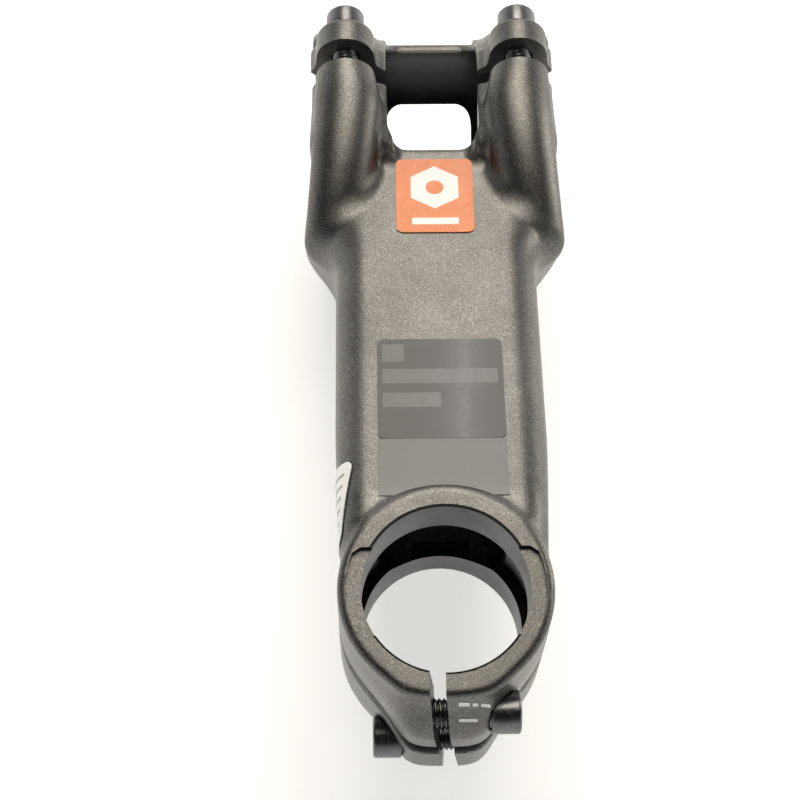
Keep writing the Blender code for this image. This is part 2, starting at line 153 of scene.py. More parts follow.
# Flank label and its dark edge: (down the flank, up over its top edge, rear, front)
FLANK_BOX = (-4.7, 6.1, 5.3, LABEL_FRONT)
FLANK_EDGE_BOX = (-5.0, 6.4, 5.0, 20.4)
FLANK_LINES = (8.6, 10.8, 13.0, 15.2, 17.4)  # the rear of each printed line

# Plain bars in place of the print: (name, left, right, rear, front) on the panel
PANEL_MARKS = [
    ("panel_square", -10.3, -6.4, 41.6, 45.6),
    ("panel_bar_long", -10.3, 10.2, 36.6, 39.9),
    ("panel_bar_short", -10.3, 0.0, 31.2, 34.5),
]
# Plain dashes on the upper right ear: (left, right, rear, front) in world X and Y
EAR_MARKS = [
    (1.8, 3.6, -19.3, -18.9),
    (4.1, 5.0, -19.3, -18.9),
    (5.5, 7.1, -19.3, -18.9),
    (1.9, 5.0, -21.3, -20.9),
]


# ---------------------------------------------------------------- distance fields
def smooth_step(value, low, high):
    t = np.clip((value - low) / (high - low), 0.0, 1.0)
    return t * t * (3 - 2 * t)


def blend(a, b, radius):
    """Union of two fields with a round fillet where they meet."""
    inner = np.hypot(np.maximum(radius - a, 0), np.maximum(radius - b, 0))
    return np.maximum(radius, np.minimum(a, b)) - inner


def trim(a, b, radius):
    """Intersection of two fields with a rounded edge."""
    outer = np.hypot(np.maximum(radius + a, 0), np.maximum(radius + b, 0))
    return np.minimum(-radius, np.maximum(a, b)) + outer


def rounded_rectangle(u, v, half_u, half_v, corner):
    u = np.abs(u) - half_u + corner
    v = np.abs(v) - half_v + corner
    outside = np.hypot(np.maximum(u, 0), np.maximum(v, 0))
    return outside + np.minimum(np.maximum(u, v), 0) - corner


def world_of(e, z):
    """World Y and Z of a point in the extension's frame."""
    return e * TILT_COS - z * TILT_SIN, e * TILT_SIN + z * TILT_COS


def clamp_radius(x, y, z):
    """Outer radius of the steerer clamp: a round ring that grows two bolt ears at the rear."""
    reach_out = np.maximum(np.hypot(x, y), 1e-6)
    across, along = x / reach_out, y / reach_out
    level = np.abs(z)
    full = np.where(z > 0, 1 - smooth_step(level, 9, 19.6), 1 - 0.6 * smooth_step(level, 14, 20))
    reach = CLAMP_R - 0.6 + (EAR_REACH - CLAMP_R + 0.6) * full
    flank = EAR_FLANK - 1.6 * (1 - full)
    behind = np.maximum(-along, 0.3)
    ear = (reach / behind) ** -14
    for side in (-1, 1):
        slope = np.maximum(0.888 * side * across - 0.46 * along, 0.05)
        ear = ear + (flank / slope) ** -14
    ear = ear ** (-1 / 14)
    grown = (CLAMP_R**18 + ear**18) ** (1 / 18)
    radius = CLAMP_R + (grown - CLAMP_R) * smooth_step(-along, 0.2, 0.45)
    groove = smooth_step(-along, -0.1, 0.5) * (1 - smooth_step(level, 0.5, 3.4))
    return radius + (WAIST_R - 0.5 - radius) * groove


def clamp_field(x, y, z):
    side = np.hypot(x, y) - clamp_radius(x, y, z)
    return trim(side * 0.9, np.abs(z) - CLAMP_HALF, 1.3)


def half_width(e):
    start = 1.0 * (1 - smooth_step(e, 0, 30))
    flare = (FLARE_HALF - BODY_HALF) * smooth_step(e, *FLARE_SPAN)
    back = (FLARE_HALF - STRAP_OUTER) * smooth_step(e, *STRAP_SPAN)
    return BODY_HALF - start + flare - back


def deck_height(e):
    along = np.clip((e - 13) / 77, 0, 1)
    top = 15.0 + 6.8 * (1 - along) ** 1.5
    limit = (CLAMP_HALF - DECK_STEP - e * TILT_SIN) / TILT_COS
    return np.minimum(top, limit)


def belly_height(e):
    return 1.6 * (1 - smooth_step(e, 24, 52)) - BELLY


def extension_field(x, e, z):
    top, bottom = deck_height(e), belly_height(e)
    half = half_width(e + FLARE_LAG * (np.minimum(z, FLARE_LEVEL) - FLARE_LEVEL))
    shell = rounded_rectangle(x, z - (top + bottom) / 2, half, (top - bottom) / 2, half - DECK_HALF)
    ends = np.maximum(e - 99, -e)
    return trim(shell, ends, 1.0)


def tube_field(x, e, z):
    """The four arms: round tubes that dive from the bolt bosses back into the shoulders."""
    t = np.clip((BODY_FACE + 1.6 - e) / 32, 0, 1.1)
    wide = smooth_step(t, 0, 0.3)
    outward = np.where(z > 0, 3.4, -3.5)
    half_x = BOSS_R * (1 + 0.18 * wide) * (1 - 0.2 * t**2)
    half_z = BOSS_R * (1 - 0.15 * t)
    across = (np.abs(x) - (BOLT_X - 0.75 * wide + outward * t**2)) / half_x
    height = (np.abs(z) - (BOLT_Z - 11.7 * t**2)) / half_z
    tube = (np.hypot(across, height) - 1) * half_z * 0.9
    return trim(tube, 73 - e, 3.0)


def cheek_field(x, e, z):
    """The straps' side walls behind the handlebar."""
    level = np.abs(z)
    slope = (91 - e) * 0.851 + (level - CHEEK_HIGH + 1.5) * 0.525
    wall = trim(level - CHEEK_HIGH, slope, 1.5)
    middle = (STRAP_OUTER + STRAP_INNER) / 2 - 0.5
    width = np.abs(np.abs(x) - middle) - (STRAP_OUTER - middle)
    return trim(wall, width, 1.4)


def arm_window_field(x, e):
    """The gap between the two straps, open at the front."""
    u = np.abs(x) - STRAP_INNER + WINDOW_CORNER
    v = DECK_FRONT + WINDOW_CORNER - e
    outside = np.hypot(np.maximum(u, 0), np.maximum(v, 0))
    return outside + np.minimum(np.maximum(u, v), 0) - WINDOW_CORNER


def body_field(x, e, z):
    y, height = world_of(e, z)
    arms = blend(cheek_field(x, e, z), tube_field(x, e, z), 1.5)
    forging = blend(extension_field(x, e, z), arms, 2.2)
    forging = trim(forging, -arm_window_field(x, e), 1.1)
    forging = np.maximum(forging, e - BODY_FACE - 1)
    return blend(forging, clamp_field(x, y, height), 0.9)


def hood_field(x, e, z):
    """Bolt boss of the faceplate, round on top and spreading to the strap below."""
    across, level = np.abs(x) - BOLT_X, np.abs(z)
    boss = np.hypot(across, level - BOLT_Z) - BOSS_R
    root = rounded_rectangle(across + 0.75, level - 10, 7.2, 7.0, 1.5)
    outline = blend(boss, root, 4.0)
    return trim(outline, np.maximum(e - BOSS_FRONT, PLATE_FACE - 2 - e), 0.7)


def plate_field(x, e, z):
    level = np.abs(z)
    reach = np.hypot(e - STEM_LENGTH, z)
    thinner = 2.0 * (1 - smooth_step(np.abs(x), STRAP_INNER, 12.8)) * smooth_step(level, 6, 11)
    shell = trim(reach - BAR_R - PLATE_WALL + thinner, np.abs(x) - STRAP_OUTER, 1.1)
    shell = trim(shell, level - PLATE_HIGH, 0.8)
    shell = blend(shell, hood_field(x, e, z), 1.2)
    window = rounded_rectangle(x, level - BRIDGE_HALF - 30, STRAP_INNER, 30, 3.4)
    shell = trim(shell, -window, 0.8)
    crown = BAR_R + PLATE_WALL - 0.3 - z * z * 0.0235
    inside = STRAP_INNER - np.abs(x)
    shell = trim(shell, np.minimum(inside, reach - crown), 0.5)
    return np.maximum(shell, PLATE_FACE - 1 - e)


# ---------------------------------------------------------------- meshes from fields
def sample(field, axes):
    """The field on a grid, worked out a few layers at a time to save memory."""
    layers = []
    for start in range(0, len(axes[1]), 12):
        grid = np.meshgrid(axes[0], axes[1][start : start + 12], axes[2], indexing="ij")
        layers.append(field(*grid).astype(np.float32))
    return np.concatenate(layers, axis=1)


def surface_points(values, low, step):
    """One point in each grid cell that the surface passes through, and each cell's number."""
    inside = values < 0
    size = [count - 1 for count in values.shape]
    corners = [(i, j, k) for i in (0, 1) for j in (0, 1) for k in (0, 1)]
    full = np.zeros(size, np.int8)
    for i, j, k in corners:
        full += inside[i : i + size[0], j : j + size[1], k : k + size[2]]
    crossed = (full > 0) & (full < 8)
    cells = np.argwhere(crossed)
    numbers = np.full(size, -1, np.int32)
    numbers[crossed] = np.arange(len(cells))
    at = {}
    for corner in corners:
        i, j, k = (cells + corner).T
        at[corner] = values[i, j, k]
    total = np.zeros((len(cells), 3))
    count = np.zeros(len(cells))
    for corner in corners:
        for axis in range(3):
            if corner[axis]:
                continue
            other = tuple(c + (n == axis) for n, c in enumerate(corner))
            a, b = at[corner], at[other]
            meets = (a < 0) != (b < 0)
            share = np.where(meets, a / np.where(meets, a - b, 1), 0)
            place = np.array(corner, float)[None] + share[:, None] * np.eye(3)[axis]
            total += place * meets[:, None]
            count += meets
    return np.array(low) + step * (cells + total / count[:, None]), numbers, inside


def surface_faces(numbers, inside):
    """One four-cornered face for each grid edge that the surface crosses."""
    faces = []
    for axis in range(3):
        u, v = (axis + 1) % 3, (axis + 2) % 3
        first = [slice(1, -1)] * 3
        first[axis] = slice(0, -1)
        second = list(first)
        second[axis] = slice(1, None)
        start, end = inside[tuple(first)], inside[tuple(second)]
        offset = np.array([1, 1, 1])
        offset[axis] = 0
        for outward in (True, False):
            edge = np.argwhere((start != end) & (start == outward)) + offset
            ring = []
            for step_u, step_v in ((0, 0), (1, 0), (1, 1), (0, 1)):
                cell = edge.copy()
                cell[:, u] -= step_u
                cell[:, v] -= step_v
                ring.append(numbers[tuple(cell.T)])
            ring = np.stack(ring if outward else ring[::-1], axis=1)
            faces.append(ring)
    return np.concatenate(faces)


def pull_to_surface(points, field, reach):
    """Moves each point along the field's slope until the field is zero there."""
    tiny = 0.02
    for _ in range(4):
        slope = np.zeros_like(points)
        for axis in range(3):
            ahead, behind = points.copy(), points.copy()
            ahead[:, axis] += tiny
            behind[:, axis] -= tiny
            slope[:, axis] = (field(*ahead.T) - field(*behind.T)) / (2 * tiny)
        steep = np.maximum((slope**2).sum(axis=1), 0.3)
        move = slope * (field(*points.T) / steep)[:, None]
        length = np.linalg.norm(move, axis=1, keepdims=True)
        points = points - move * np.minimum(1, reach / np.maximum(length, 1e-9))
    return points


def mesh_of_field(name, field, low, high, step=GRID):
    axes = [np.arange(a, b + step, step) for a, b in zip(low, high)]
    points, numbers, inside = surface_points(sample(field, axes), low, step)
    faces = surface_faces(numbers, inside)
    points = pull_to_surface(points, field, step * 0.4) * MM
    mesh = bpy.data.meshes.new(name)
    mesh.vertices.add(len(points))
    mesh.vertices.foreach_set("co", points.astype(np.float32).ravel())
    mesh.loops.add(faces.size)
    mesh.loops.foreach_set("vertex_index", faces.astype(np.int32).ravel())
    mesh.polygons.add(len(faces))
    mesh.polygons.foreach_set("loop_start", np.arange(0, faces.size, 4, dtype=np.int32))
    mesh.update(calc_edges=True)
    mesh.validate()
    mesh.transform(TO_WORLD)
    return mesh


# ---------------------------------------------------------------- mesh helpers
def circle(radius, sides):
    turns = [2 * math.pi * i / sides for i in range(sides)]
    return [(radius * math.cos(turn), radius * math.sin(turn)) for turn in turns]


def arc(center, radius, start, end, count):
    points = []
    for i in range(count):
        angle = math.radians(start + (end - start) * i / (count - 1))
        points.append((center[0] + radius * math.cos(angle), center[1] + radius * math.sin(angle)))
    return points


def loft(sections):
    """Closed solid through rings of points, with a cap at each end."""
    bm = bmesh.new()
    rings = [[bm.verts.new(point) for point in section] for section in sections]
    for near, far in zip(rings, rings[1:]):
        for i in range(len(near)):
            j = (i + 1) % len(near)
            bm.faces.new((near[i], near[j], far[j], far[i]))
    bm.faces.new(list(reversed(rings[0])))
    bm.faces.new(rings[-1])
    return bm


def turned(profile, sides=ROUND_SIDES):
    """Solid of revolution about Z through (radius, height) pairs."""
    return loft([[(x, y, height) for x, y in circle(radius, sides)] for radius, height in profile])


def prism(outline, axis, low, high):
    place = {
        "x": lambda a, b, c: (c, a, b),
        "y": lambda a, b, c: (a, c, b),
        "z": lambda a, b, c: (a, b, c),
    }[axis]
    return loft([[place(a, b, level) for a, b in outline] for level in (low, high)])


def finished(bm, name, matrix=Matrix.Identity(4)):
    """Mesh of a millimetre bmesh, moved by the matrix (in millimetres too) and turned to metres."""
    bmesh.ops.transform(bm, matrix=Matrix.Scale(MM, 4) @ matrix, verts=bm.verts)
    bmesh.ops.recalc_face_normals(bm, faces=bm.faces)
    mesh = bpy.data.meshes.new(name)
    bm.to_mesh(mesh)
    bm.free()
    return mesh


def add_object(name, mesh):
    obj = bpy.data.objects.new(name, mesh)
    bpy.context.scene.collection.objects.link(obj)
    return obj


def carve(obj, meshes):
    """Cuts each mesh out of the object, and leaves no modifier or cutter behind."""
    cutters = []
    for mesh in meshes:
        cutter = add_object(mesh.name, mesh)
        modifier = obj.modifiers.new(mesh.name, "BOOLEAN")
        modifier.operation = "DIFFERENCE"
        modifier.solver = "MANIFOLD"
        modifier.object = cutter
        cutters.append(cutter)
    graph = bpy.context.evaluated_depsgraph_get()
    result = bpy.data.meshes.new_from_object(obj.evaluated_get(graph))
    obj.modifiers.clear()
    obj.data = result
    for cutter in cutters:
        bpy.data.objects.remove(cutter)


def shade(mesh, angle=30):
    mesh.shade_smooth()
    mesh.set_sharp_from_angle(angle=math.radians(angle))


def along_x(side):
    return Matrix.Rotation(side * math.pi / 2, 4, "Y")


# ---------------------------------------------------------------- body
def steerer_bore():
    half, bore = CLAMP_HALF, STEERER_R
    upper = [(bore, RELIEF_HALF + 0.5), (bore, half - BORE_CHAMFER), (bore + 1.5, half + 1.1)]
    profile = [(radius, -height) for radius, height in reversed(upper)]
    profile += [(RELIEF_R - 0.3, -RELIEF_HALF), (RELIEF_R, -RELIEF_HALF + 0.4)]
    profile += [(RELIEF_R, RELIEF_HALF - 0.4), (RELIEF_R - 0.3, RELIEF_HALF)]
    profile += upper
    return finished(turned(profile), "steerer_bore")


def bar_bore():
    edge, chamfer = STRAP_OUTER, 0.4
    profile = [(BAR_R + 3, -edge - 2.6), (BAR_R, -edge + chamfer)]
    profile += [(BAR_R, edge - chamfer), (BAR_R + 3, edge + 2.6)]
    place = TO_WORLD @ Matrix.Translation((0, STEM_LENGTH, 0)) @ along_x(1)
    return finished(turned(profile), "bar_bore", place)


def slot():
    half = SLOT_WIDTH / 2
    outline = [(-half, -30), (half, -30), (half, -8), (-half, -8)]
    return finished(prism(outline, "z", -30, 30), "slot", Matrix.Rotation(-SLOT_TILT, 4, "Y"))


def pocket(side):
    inner = STEERER_R - 1.5
    front = math.degrees(math.asin(POCKET_FRONT / POCKET_R))
    rear = math.degrees(math.asin(POCKET_REAR / POCKET_R))
    corner = 1.0
    outline = [(inner * 0.9, POCKET_FRONT), (inner * 0.9, POCKET_REAR)]
    outline.append((POCKET_R * math.cos(math.radians(rear)) - corner, POCKET_REAR))
    outline += arc((0, 0), POCKET_R, rear + 3.5, front - 3.5, 24)
    outline.append((POCKET_R * math.cos(math.radians(front)) - corner, POCKET_FRONT))
    outline = [(side * x, y) for x, y in outline]
    low = CLAMP_HALF - POCKET_DEPTH
    return finished(prism(outline, "z", low, CLAMP_HALF + 2), "pocket")


def hollow():
    sections = []
    for step in range(17):
        e = 8 + 93 * step / 16
        grow = float(smooth_step(e, 14, 46))
        half, height, corner = 11.5 + 3.7 * grow, 7.4 + 4.6 * grow, 6.5
        ring = []
        for sx, sz, start in ((1, -1, -90), (1, 1, 0), (-1, 1, 90), (-1, -1, 180)):
            center = (sx * (half - corner), sz * (height - corner))
            ring += arc(center, corner, start, start + 90, 9)
        sections.append([(x, e, z) for x, z in ring])
    return finished(loft(sections), "hollow", TO_WORLD)


def head_recess(side):
    place = Matrix.Translation((side * STEERER_SEAT_X, STEERER_BOLT_Y, side * STEERER_BOLT_Z))
    profile = [(HEAD_R + 0.6, 0), (HEAD_R + 0.6, 5), (HEAD_R + 1.4, 14)]
    return finished(turned(profile, 64), "head_recess", place @ along_x(side))


def clamp_bolt_hole(side):
    place = Matrix.Translation((side * -6.1, STEERER_BOLT_Y, side * STEERER_BOLT_Z))
    hole = turned([(HOLE_R, 0), (HOLE_R, 15)], HOLE_SIDES)
    return finished(hole, "clamp_bolt_hole", place @ along_x(side))


def corner_place(side, up, e):
    spot = Matrix.Translation((side * BOLT_X, e, up * BOLT_Z))
    return TO_WORLD @ spot @ Matrix.Rotation(-math.pi / 2, 4, "X")


def strap_end():
    outline = [(-30, -40), (30, -40), (30, 40), (-30, 40)]
    return finished(prism(outline, "y", BODY_FACE, BODY_FACE + 20), "strap_end", TO_WORLD)


def thread_hole(side, up):
    profile = [(HOLE_R - 0.6, 0), (HOLE_R, 0.6), (HOLE_R, THREAD_HOLE_DEPTH - 0.35)]
    profile += [(HOLE_R + 0.9, THREAD_HOLE_DEPTH + 0.55), (HOLE_R + 0.9, THREAD_HOLE_DEPTH + 3)]
    place = corner_place(side, up, BODY_FACE - THREAD_HOLE_DEPTH)
    return finished(turned(profile, HOLE_SIDES), "thread_hole", place)


def machined(points):
    """True where a face centre, in millimetres in world space, lies on a machined wall."""
    x, y, z = points.T
    e = y * TILT_COS + z * TILT_SIN
    level = z * TILT_COS - y * TILT_SIN
    reach = np.hypot(x, y)
    bore = (reach < STEERER_R + 0.45) & (reach > STEERER_R - 0.5)
    relief = (reach < RELIEF_R + 0.1) & (reach > STEERER_R - 0.5) & (np.abs(z) < RELIEF_HALF + 0.6)
    bar = np.hypot(e - STEM_LENGTH, level) < BAR_R + 0.42
    face = np.abs(e - BODY_FACE) < 0.05
    return bore | relief | bar | face


def paint_machined(obj):
    """Second material slot on the walls that a tool has cut."""
    mesh = obj.data
    centers = np.empty(len(mesh.polygons) * 3, np.float32)
    mesh.polygons.foreach_get("center", centers)
    marks = machined(centers.reshape(-1, 3).astype(float) / MM).astype(np.int32)
    mesh.polygons.foreach_set("material_index", marks)


def make_body():
    low, high = (-27, -30, -30), (27, 109, 30)
    obj = add_object("forged_body", mesh_of_field("forged_body", body_field, low, high))
    cutters = [steerer_bore(), slot(), pocket(-1), pocket(1)]
    for side in (1, -1):
        cutters += [head_recess(side), clamp_bolt_hole(side)]
    cutters += [strap_end(), hollow(), bar_bore()]
    cutters += [thread_hole(side, up) for side, up in CORNERS.values()]
    carve(obj, cutters)
    return obj


# ---------------------------------------------------------------- faceplate
def plate_hole(side, up):
    profile = [(HOLE_R, -6), (HOLE_R, BOSS_FRONT - PLATE_FACE + 3)]
    return finished(turned(profile, HOLE_SIDES), "plate_hole", corner_place(side, up, PLATE_FACE))


def plate_foot():
    outline = [(-30, -40), (30, -40), (30, 40), (-30, 40)]
    return finished(prism(outline, "y", PLATE_FACE - 20, PLATE_FACE), "plate_foot", TO_WORLD)


def make_faceplate():
    low = (-25, PLATE_FACE - 3, -29)
    high = (25, STEM_LENGTH + 22, 29)
    obj = add_object("front_plate", mesh_of_field("front_plate", plate_field, low, high, PLATE_GRID))
    cutters = [plate_foot(), bar_bore()]
    cutters += [plate_hole(side, up) for side, up in CORNERS.values()]
    carve(obj, cutters)
    return obj


# ---------------------------------------------------------------- bolts
def hex_radius(angle):
    sector = (angle + math.pi / 6) % (math.pi / 3) - math.pi / 6
    return HEX_R * math.cos(math.pi / 6) / math.cos(abs(sector) - math.pi / 6)


def bolt_rings(length):
    """Rings from the tip to the bottom of the socket: (radius by angle, height)."""
    rings = [(lambda a: 0.8, -length)]
    steps = int(length / PITCH * 7)
    for step in range(steps + 1):
        height = -length + 0.25 + (length - 0.8) * step / steps
        lead_in = min(1.0, (height + length) / LEAD_IN)

        def radius(angle, height=height, lead_in=lead_in):
            phase = (height / PITCH - angle / (2 * math.pi)) % 1.0
            crest = min(1.0, 1.25 * abs(2 * phase - 1))
            return THREAD_R - THREAD_DEPTH * (1 - crest) - 0.5 * (1 - lead_in)

        rings.append((radius, height))
    rings.append((lambda a: THREAD_R, -0.45))
    rings.append((lambda a: THREAD_R + 0.15, 0.0))
    for turn in range(0, 91, 30):
        angle = math.radians(turn)
        height = 0.2 - 0.2 * math.cos(angle)
        rings.append((lambda a, t=angle: HEAD_R - 0.2 + 0.2 * math.sin(t), height))
    for turn in range(0, 91, 15):
        angle = math.radians(turn)
        height = HEAD_H - 0.55 + 0.55 * math.sin(angle)
        rings.append((lambda a, t=angle: HEAD_R - 0.55 + 0.55 * math.cos(t), height))
    rings.append((lambda a: HEX_R + 0.28, HEAD_H))
    rings.append((lambda a: HEX_R + 0.12, HEAD_H - 0.05))
    rings.append((hex_radius, HEAD_H - 0.38))
    rings.append((hex_radius, HEAD_H - HEX_DEPTH))
    rings.append((lambda a: 0.3, HEAD_H - HEX_DEPTH - 0.35))
    return rings


def bolt_mesh(name, length):
    sections = []
    for radius, height in bolt_rings(length):
        ring = []
        for i in range(BOLT_SIDES):
            angle = 2 * math.pi * i / BOLT_SIDES
            ring.append((radius(angle) * math.cos(angle), radius(angle) * math.sin(angle), height))
        sections.append(ring)
    mesh = finished(loft(sections), name)
    shade(mesh, 38)
    return mesh


def place_bolt(node, joint, length, material):
    """A threaded bolt on the axis that the joint gives, replacing the plain one."""
    axis = Vector(JOINTS[joint]["axis"])
    mesh = bolt_mesh(node + "_threaded", length)
    turn = axis.to_track_quat("Z", "Y").to_matrix().to_4x4()
    mesh.transform(Matrix.Translation(Vector(JOINTS[joint]["pos_m"])) @ turn)
    obj = add_object(node + "_threaded", mesh)
    mesh.materials.append(material)
    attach(obj, node)
    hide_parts(node)


# ---------------------------------------------------------------- labels and prints
def sheet(name, rows, place, lift, thick, material, node):
    """A thin sheet on the body. Rows are (e, left, right), and place(u, e, level) finds each point."""
    columns = 16
    bm = bmesh.new()
    layers = []
    for level in (lift, lift + thick):
        layer = []
        for e, left, right in rows:
            xs = [left + (right - left) * i / columns for i in range(columns + 1)]
            layer.append([bm.verts.new(place(x, e, level)) for x in xs])
        layers.append(layer)
    low, high = layers
    for layer, flip in ((low, True), (high, False)):
        for near, far in zip(layer, layer[1:]):
            for i in range(columns):
                ring = (near[i], near[i + 1], far[i + 1], far[i])
                bm.faces.new(tuple(reversed(ring)) if flip else ring)
    for i in range(columns):
        bm.faces.new((low[0][i], low[0][i + 1], high[0][i + 1], high[0][i]))
        bm.faces.new((low[-1][i + 1], low[-1][i], high[-1][i], high[-1][i + 1]))
    for j in range(len(rows) - 1):
        bm.faces.new((low[j + 1][0], low[j][0], high[j][0], high[j + 1][0]))
        bm.faces.new((low[j][-1], low[j + 1][-1], high[j + 1][-1], high[j][-1]))
    mesh = finished(bm, name, TO_WORLD)
    shade(mesh, 40)
    mesh.materials.append(material)
    obj = add_object(name, mesh)
    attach(obj, "stem")
    if node:
        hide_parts(node)


def round_rows(left, right, rear, front, corner, steps=8, middle=12):
    """Rows of a rectangle with round corners."""
    rows = []
    for step in range(steps + 1):
        angle = math.pi / 2 * step / steps
        inset = corner * (1 - math.sin(angle))
        rows.append((rear + corner * (1 - math.cos(angle)), left + inset, right - inset))
    for step in range(1, middle):
        rows.append((rear + corner + (front - rear - 2 * corner) * step / middle, left, right))
    for step in range(steps, -1, -1):
        angle = math.pi / 2 * step / steps
        inset = corner * (1 - math.sin(angle))
        rows.append((front - corner * (1 - math.cos(angle)), left + inset, right - inset))
    return rows


def slanted(rows):
    """The flank label's rows, with their upper ends drawn in toward the rear."""
    return [(e, left, right - 0.3 * (LABEL_FRONT - e)) for e, left, right in rows]


def on_deck(u, e, level):
    return (u, e, float(deck_height(e)) + level)


def body_spot(guess, level):
    """Place on the body nearest to a guess, raised by level; both in the extension's frame."""
    spot, normal, _, _ = BODY_TREE.find_nearest(TO_WORLD @ Vector(guess) * MM)
    return TO_WORLD.inverted() @ ((spot + normal * level * MM) / MM)


def on_left_flank(u, e, level):
    """u runs up the flank in millimetres, past its rounded top edge and onto the deck."""
    half = float(half_width(e))
    corner = half - DECK_HALF
    angle = max(u, 0) / corner
    height = float(deck_height(e)) - corner + min(u, 0) + corner * math.sin(angle)
    return body_spot((-DECK_HALF - corner * math.cos(angle), e, height), level)


def on_ear(u, e, level):
    """Spot on the clamp's upper right ear, seen from above; u and e run in world X and Y."""
    start = Vector((u, e, 40)) * MM
    spot, normal, _, _ = BODY_TREE.ray_cast(start, Vector((0, 0, -1)))
    return TO_WORLD.inverted() @ ((spot + normal * level * MM) / MM)


# ---------------------------------------------------------------- materials
class Paint:
    """A procedural material: small helpers over its node tree."""

    def __init__(self, name, **sockets):
        self.material = bpy.data.materials.new(name)
        self.material.use_nodes = True
        self.nodes = self.material.node_tree.nodes
        self.links = self.material.node_tree.links
        self.shader = self.nodes["Principled BSDF"]
        self.place = self.nodes.new("ShaderNodeTexCoord").outputs["Object"]
        for socket, value in sockets.items():
            self.shader.inputs[socket.replace("_", " ")].default_value = value

    def noise(self, scale, detail=2.0, roughness=0.5):
        node = self.nodes.new("ShaderNodeTexNoise")
        node.inputs["Scale"].default_value = scale
        node.inputs["Detail"].default_value = detail
        node.inputs["Roughness"].default_value = roughness
        self.links.new(self.place, node.inputs["Vector"])
        return node.outputs["Fac"]

    def cells(self, scale):
        """A different random number in each small cell."""
        node = self.nodes.new("ShaderNodeTexVoronoi")
        node.inputs["Scale"].default_value = scale
        self.links.new(self.place, node.inputs["Vector"])
        split = self.nodes.new("ShaderNodeSeparateColor")
        self.links.new(node.outputs["Color"], split.inputs["Color"])
        return split.outputs["Red"]

    def bands(self, scale, axis):
        node = self.nodes.new("ShaderNodeTexWave")
        node.wave_type = "BANDS"
        node.bands_direction = axis
        node.inputs["Scale"].default_value = scale
        node.inputs["Distortion"].default_value = 0.6
        self.links.new(self.place, node.inputs["Vector"])
        return node.outputs["Fac"]

    def remap(self, value, low, high, to_low, to_high):
        node = self.nodes.new("ShaderNodeMapRange")
        numbers = {"From Min": low, "From Max": high, "To Min": to_low, "To Max": to_high}
        for socket, number in numbers.items():
            node.inputs[socket].default_value = number
        self.links.new(value, node.inputs["Value"])
        return node.outputs["Result"]

    def math(self, operation, a, b):
        node = self.nodes.new("ShaderNodeMath")
        node.operation = operation
        for socket, value in zip(node.inputs, (a, b)):
            if isinstance(value, (int, float)):
                socket.default_value = value
            else:
                self.links.new(value, socket)
        return node.outputs["Value"]

    def colors(self, value, stops):
        node = self.nodes.new("ShaderNodeValToRGB")
        ramp = node.color_ramp.elements
        while len(ramp) < len(stops):
            ramp.new(0.5)
        for element, (place, color) in zip(ramp, stops):
            element.position = place
            element.color = (*color, 1.0)
        self.links.new(value, node.inputs["Fac"])
        self.links.new(node.outputs["Color"], self.shader.inputs["Base Color"])

    def rough(self, value):
        self.links.new(value, self.shader.inputs["Roughness"])

    def bump(self, height, strength, distance):
        node = self.nodes.new("ShaderNodeBump")
        node.inputs["Strength"].default_value = strength
        node.inputs["Distance"].default_value = distance * MM
        self.links.new(height, node.inputs["Height"])
        self.links.new(node.outputs["Normal"], self.shader.inputs["Normal"])


def anodised(name, dark, light):
    """Bead-blasted black anodising: a fine grain, and scattered cells with painted glints (a brighter
    colour standing in for highlights) and a lower roughness.
    """
    paint = Paint(name, Metallic=1.0)
    grain = paint.noise(3600, 3.0, 0.75)
    cloud = paint.noise(90, 2.0)
    # painted highlight: random small cells are brightened in colour to stand in for glints, and get a
    # lower roughness
    painted_glint = paint.remap(paint.cells(4400), 0.75, 1.0, 0.0, 0.13)
    tone = paint.math("ADD", paint.math("MULTIPLY", grain, 0.8), paint.math("MULTIPLY", cloud, 0.2))
    painted_glint_color = [2 * part for part in light]
    paint.colors(paint.math("ADD", tone, painted_glint), [(0.36, dark), (0.6, light), (0.85, painted_glint_color)])
    paint.rough(paint.remap(paint.math("SUBTRACT", grain, painted_glint), 0.2, 0.8, 0.30, 0.46))
    paint.bump(grain, 0.8, 0.05)
    return paint.material


def machined_metal():
    """Anodised walls that a tool has bored: smooth, with the tool's fine turning marks."""
    paint = Paint("machined_anodised", Metallic=1.0)
    marks = paint.math("ADD", paint.bands(1150, "Z"), paint.bands(900, "X"))
    soft = paint.noise(140, 2.0)
    paint.colors(soft, [(0.3, (0.035, 0.034, 0.033)), (0.7, (0.050, 0.049, 0.047))])
    paint.rough(paint.remap(soft, 0.3, 0.7, 0.3, 0.4))
    paint.bump(marks, 0.25, 0.006)
    return paint.material


def bolt_steel():
    paint = Paint("bolt_black_oxide", Metallic=1.0)
    cloud = paint.noise(420, 3.0, 0.6)
    paint.colors(cloud, [(0.3, (0.13, 0.13, 0.132)), (0.7, (0.20, 0.20, 0.20))])
    paint.rough(paint.remap(paint.noise(1500, 2.0), 0.3, 0.7, 0.26, 0.38))
    paint.bump(paint.noise(1900, 2.0), 0.2, 0.01)
    return paint.material


def gloss(name, dark, light, roughness, coat=0.06, uneven=0.2, shine=0.5):
    """Glossy print under a clear layer, with the faint waviness of a thin film."""
    paint = Paint(name, Coat_Weight=coat, Coat_Roughness=0.03, Specular_IOR_Level=shine)
    cloud = paint.noise(160, 2.0)
    paint.colors(cloud, [(0.3, dark), (0.7, light)])
    low, high = roughness * (1 - uneven), roughness * (1 + uneven)
    paint.rough(paint.remap(paint.noise(900, 2.0), 0.3, 0.7, low, high))
    paint.bump(paint.noise(260, 1.0), 0.12, 0.02)
    return paint.material


